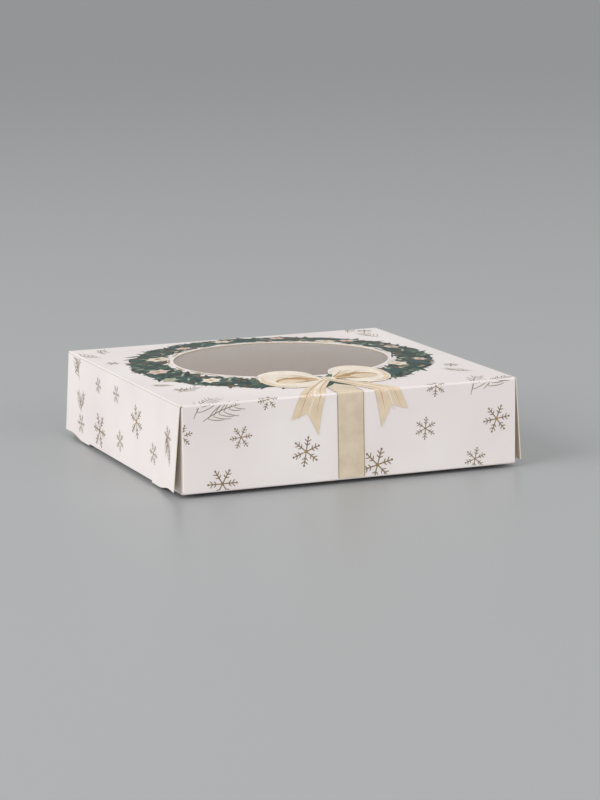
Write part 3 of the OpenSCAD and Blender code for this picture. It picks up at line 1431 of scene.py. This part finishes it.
@dataclass
class ClosurePrint:
    """Print of one closure: scattered snowflakes and sprigs that move with it."""

    ink: bpy.types.Material
    side: Side
    standoff: float = 6.0
    side_inset: float = 0.5
    top_inset: float = 0.6
    # Clears the free edge, which hangs lower than the tab's crease
    low_inset: float = 2.2
    flakes: tuple[Spot, ...] = (
        (30.6, 30.0, 3.6, 10), (5.9, 30.2, 4.0, 0), (-21.5, 23.0, 7.0, 15), (27.8, 10.4, 7.6, 5),
        (-0.2, 10.8, 4.6, 22), (-44.0, 13.4, 4.6, 8), (-62.0, 24.0, 4.2, 12), (54.0, 9.0, 4.4, 0),
    )
    sprigs: tuple[Spot, ...] = (
        (54, 14, 60, 10), (55, 15, 118, 9), (57, 28, 50, 13), (64, 30, 130, 11), (-60, 15, 100, 9),
        (-66, 12, 75, 9),
    )

    def build(self) -> None:
        """Draws and lays the print of the closure."""
        node, sign = self.side.closure, self.side.value
        low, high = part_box(node)
        start = (high.x if self.side is Side.RIGHT else low.x) / MM + sign * self.standoff
        drawing = Drawing(seed=31 + sign)
        for flake in self.flakes:
            drawing.flake(flake)
        for sprig in self.sprigs:
            drawing.sprig(sprig)
        chart = Chart(
            name=f"{node}_print",
            body=node,
            nodes=(node,),
            ray=lambda u, v: (Vector((start, u, v)), Vector((-sign, 0, 0))),
            low=(low.y / MM + self.side_inset, low.z / MM + self.low_inset),
            high=(high.y / MM - self.side_inset, high.z / MM - self.top_inset),
        )
        chart.lay(drawing, self.ink)


# ---------- studio ----------


@dataclass(frozen=True)
class Lamp:
    """Soft square lamp: place and side in metres, power in watts."""

    name: str
    place: tuple[float, float, float]
    size: float
    power: float

    def build(self) -> None:
        """Hangs the lamp so that it looks at the box."""
        data = bpy.data.lights.new(self.name, "AREA")
        data.size = self.size
        data.energy = self.power
        lamp = bpy.data.objects.new(self.name, data)
        lamp.location = self.place
        lamp.rotation_euler = (-Vector(self.place)).to_track_quat("-Z", "Y").to_euler()
        bpy.context.scene.collection.objects.link(lamp)


@dataclass
class Studio:
    """Floor, lamps and camera. Lengths are in metres and angles in degrees."""

    floor: FloorFinish = field(default_factory=FloorFinish)
    floor_radius: float = 14.0
    sky: float = 0.62
    lamps: tuple[Lamp, ...] = (
        Lamp("key", (-2.2, -0.45, 1.3), 1.8, 48),
        Lamp("fill", (0.9, -2.2, 0.8), 1.6, 19),
    )
    camera_at: tuple[float, float, float] = (-0.44787, -1.12765, 0.24798)
    yaw: float = 21.957
    pitch: float = 10.53
    roll: float = -0.674
    lens_mm: float = 126.57
    sensor_mm: float = 36
    camera_reach: float = 60

    def build(self) -> None:
        """Sets the floor, the light and the camera."""
        self._floor()
        self._sky()
        for lamp in self.lamps:
            lamp.build()
        self._camera()
        bpy.context.scene.view_settings.view_transform = "Standard"
        log.info("set up the floor, %d lamps and the camera", len(self.lamps))

    def _floor(self) -> None:
        """Makes the floor at the height that the box rests on."""
        mesh = bmesh.new()
        bmesh.ops.create_circle(mesh, cap_ends=True, radius=self.floor_radius, segments=96)
        data = bpy.data.meshes.new("studio_floor")
        mesh.to_mesh(data)
        mesh.free()
        data.materials.append(self.floor.material())
        piece = bpy.data.objects.new("studio_floor", data)
        bpy.context.scene.collection.objects.link(piece)

    def _sky(self) -> None:
        """Lights the scene evenly from all sides."""
        world = bpy.data.worlds.new("studio")
        world.use_nodes = True
        background = world.node_tree.nodes["Background"]
        background.inputs["Color"].default_value = (1, 1, 1, 1)
        background.inputs["Strength"].default_value = self.sky
        bpy.context.scene.world = world

    def _camera(self) -> None:
        """Sets the camera where the photograph was taken from."""
        data = bpy.data.cameras.new("camera")
        data.lens = self.lens_mm
        data.sensor_width = self.sensor_mm
        data.sensor_fit = "AUTO"
        data.clip_end = self.camera_reach
        camera = bpy.data.objects.new("camera", data)
        turn = (
            Matrix.Rotation(math.radians(-self.yaw), 4, "Z")
            @ Matrix.Rotation(math.radians(90 - self.pitch), 4, "X")
            @ Matrix.Rotation(math.radians(self.roll), 4, "Z")
        )
        camera.matrix_world = Matrix.Translation(self.camera_at) @ turn
        bpy.context.scene.collection.objects.link(camera)
        bpy.context.scene.camera = camera


def main() -> None:
    """Builds the finishes, the print and the studio in order."""
    logging.basicConfig(level=logging.INFO, format="%(name)s: %(message)s")
    Board().build()
    WindowFilm().build()
    ink = InkFinish().material()
    box = BoxSizes()
    SleevePrint(ink, box).build()
    BackPrint(ink, box).build()
    for side in Side:
        ClosurePrint(ink, side).build()
    Studio().build()


if __name__ == "__main__":
    main()
